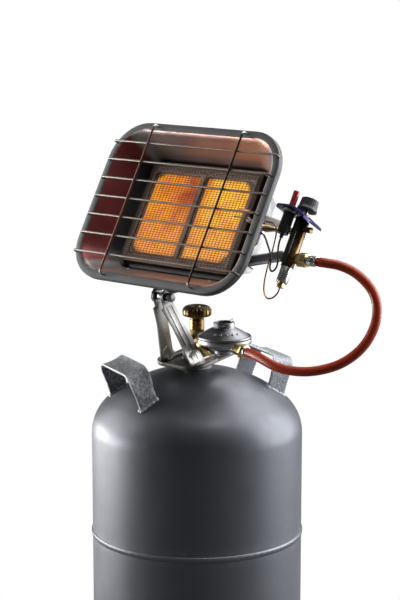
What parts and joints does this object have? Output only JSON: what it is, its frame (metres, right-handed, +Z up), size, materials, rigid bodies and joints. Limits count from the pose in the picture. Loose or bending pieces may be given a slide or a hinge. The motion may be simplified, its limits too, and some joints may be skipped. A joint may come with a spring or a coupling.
{
  "type": "portable propane heater",
  "caption": "Tilting radiant gas heater with wire guard and piezo igniter, on a bracket clamped to the neck of a steel gas bottle, fed through a regulator and hose.",
  "frame": {"origin": "on the bottle's axis, at the ground, in the foot ring's lower face", "axes": "+Z up along the bottle's axis, the heater's face looks towards -Y, +X towards the controls"},
  "size_m": [0.4634, 0.3038, 0.8377],
  "materials": {
    "bottle_coat": "satin grey powder coat",
    "neck_coat": "matt light grey",
    "brass": "machined, slightly dull",
    "brass_wheel": "cast and lacquered",
    "plated_steel": "zinc plated",
    "spring_steel": "drawn wire",
    "cast_alloy": "die cast, painted silver",
    "dark_plastic": "fine moulded grain",
    "black_rubber": "matt",
    "hose_rubber": "smooth orange-red cover",
    "bracket_steel": "brushed along the strip",
    "reflector_steel": "satin, heat tinted",
    "bright_wire": "bright plated wire",
    "box_steel": "aluminised sheet",
    "burner_frame": "heat-browned sheet",
    "hot_ceramic": "porous ceramic, glowing",
    "fibre_gasket": "pressed ceramic fibre",
    "glazed_ceramic": "glazed",
    "copper": "drawn copper",
    "blue_plate": "gloss indigo coat",
    "knob_plastic": "fine moulded grain",
    "red_plastic": "gloss moulded"
  },
  "bodies": {
    "root": {"upper_shell": "bottle_coat", "lower_shell": "bottle_coat", "foot_ring": "bottle_coat", "handle_left": "bottle_coat", "handle_right": "bottle_coat", "neck_boss": "neck_coat", "valve_body": "brass", "regulator_stem": "brass", "regulator_body": "cast_alloy", "regulator_diaphragm": "black_rubber", "regulator_spring": "spring_steel", "regulator_cover": "cast_alloy", "regulator_cap": "dark_plastic", "regulator_outlet_nuts": "brass", "hose_ferrule_low": "plated_steel", "gas_hose": "hose_rubber", "fork_plate": "bracket_steel", "left_leg": "bracket_steel", "right_leg": "bracket_steel", "clamp_strap": "bracket_steel", "pivot_bolt": "plated_steel", "pivot_spacer": "plated_steel"},
    "handwheel": {"handwheel": "brass_wheel", "valve_spindle": "plated_steel"},
    "inlet_nut": {"regulator_inlet_nut": "brass"},
    "pivot_grip": {"pivot_grip": "dark_plastic"},
    "head": {"yoke": "bracket_steel", "reflector": "reflector_steel", "guard_horizontal_wires": "bright_wire", "guard_vertical_wires": "bright_wire", "burner_box": "box_steel", "burner_frame": "burner_frame", "plaque_left": "hot_ceramic", "plaque_right": "hot_ceramic", "plaque_gasket": "fibre_gasket", "mixing_tube": "plated_steel", "injector": "brass", "feed_tube": "brass", "electrode_insulator": "glazed_ceramic", "electrode_rod": "plated_steel", "electrode_boot": "black_rubber", "thermocouple_probe": "copper", "upper_arm": "box_steel", "lower_arm": "box_steel", "head_screws": "plated_steel", "control_plate": "blue_plate", "valve_bracket": "bracket_steel", "gas_valve_body": "brass", "magnet_housing": "plated_steel", "thermocouple_nut": "brass", "piezo_body": "dark_plastic", "piezo_nut": "plated_steel", "hose_nut_high": "brass", "hose_ferrule_high": "plated_steel", "thermocouple_capillary": "copper", "ignition_lead": "black_rubber"},
    "control_spindle": {"control_spindle": "plated_steel"},
    "control_knob": {"control_knob": "knob_plastic"},
    "piezo_button": {"piezo_button": "red_plastic", "piezo_spring": "spring_steel"}
  },
  "joints": [
    {"name": "handwheel_turn", "type": "hinge", "parent": "root", "child": "handwheel", "pos_m": [0, 0, 0.56], "axis": [0, 0, 1], "range_deg": [-540, 0]},
    {"name": "inlet_nut_turn", "type": "hinge", "parent": "root", "child": "inlet_nut", "pos_m": [0.026, -0.00845, 0.5335], "axis": [0.9511, -0.309, 0], "range_deg": [-1080, 0]},
    {"name": "grip_turn", "type": "hinge", "parent": "root", "child": "pivot_grip", "pos_m": [0.017, -0.0755, 0.61], "axis": [1, 0, 0], "range_deg": [0, 720]},
    {"name": "head_tilt", "type": "hinge", "parent": "root", "child": "head", "pos_m": [0, -0.0755, 0.61], "axis": [1, 0, 0], "range_deg": [-25, 35], "deforming": ["gas_hose"]},
    {"name": "control_push", "type": "slide", "parent": "head", "child": "control_spindle", "axis": [0, -0.5045, -0.8634], "range_m": [0, 0.002], "stiffness_N_per_m": 1500, "springref_m": -0.001},
    {"name": "control_turn", "type": "hinge", "parent": "control_spindle", "child": "control_knob", "pos_m": [0.167, 0.03464, 0.73188], "axis": [0, 0.5045, 0.8634], "range_deg": [-90, 0]},
    {"name": "piezo_press", "type": "slide", "parent": "head", "child": "piezo_button", "axis": [0, -0.5045, -0.8634], "range_m": [0, 0.006], "stiffness_N_per_m": 800, "springref_m": -0.001, "deforming": ["piezo_spring"]}
  ]
}
